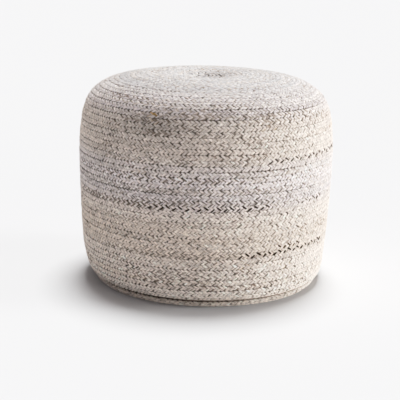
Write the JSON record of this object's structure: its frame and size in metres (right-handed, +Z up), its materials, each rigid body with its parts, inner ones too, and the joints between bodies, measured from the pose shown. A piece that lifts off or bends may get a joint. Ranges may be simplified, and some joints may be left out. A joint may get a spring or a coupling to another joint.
{
  "type": "braided pouf",
  "caption": "Round filled floor pouf wound from one flat braid, with a dimpled crown, a soft shoulder and a tucked-in foot.",
  "frame": {"origin": "on the floor, under the middle of the pouf", "axes": "+Z up along the axis that the braid winds round; -Y towards the side that the picture shows"},
  "size_m": [0.5014, 0.4984, 0.406],
  "materials": {
    "braid_yarn": "matte, heathered ivory and greige yarn in a three-strand flat braid",
    "base_yarn": "matte, heathered greige yarn in a three-strand flat braid"
  },
  "bodies": {
    "root": {"cover": "braid_yarn", "base_panel": "base_yarn"}
  },
  "joints": []
}
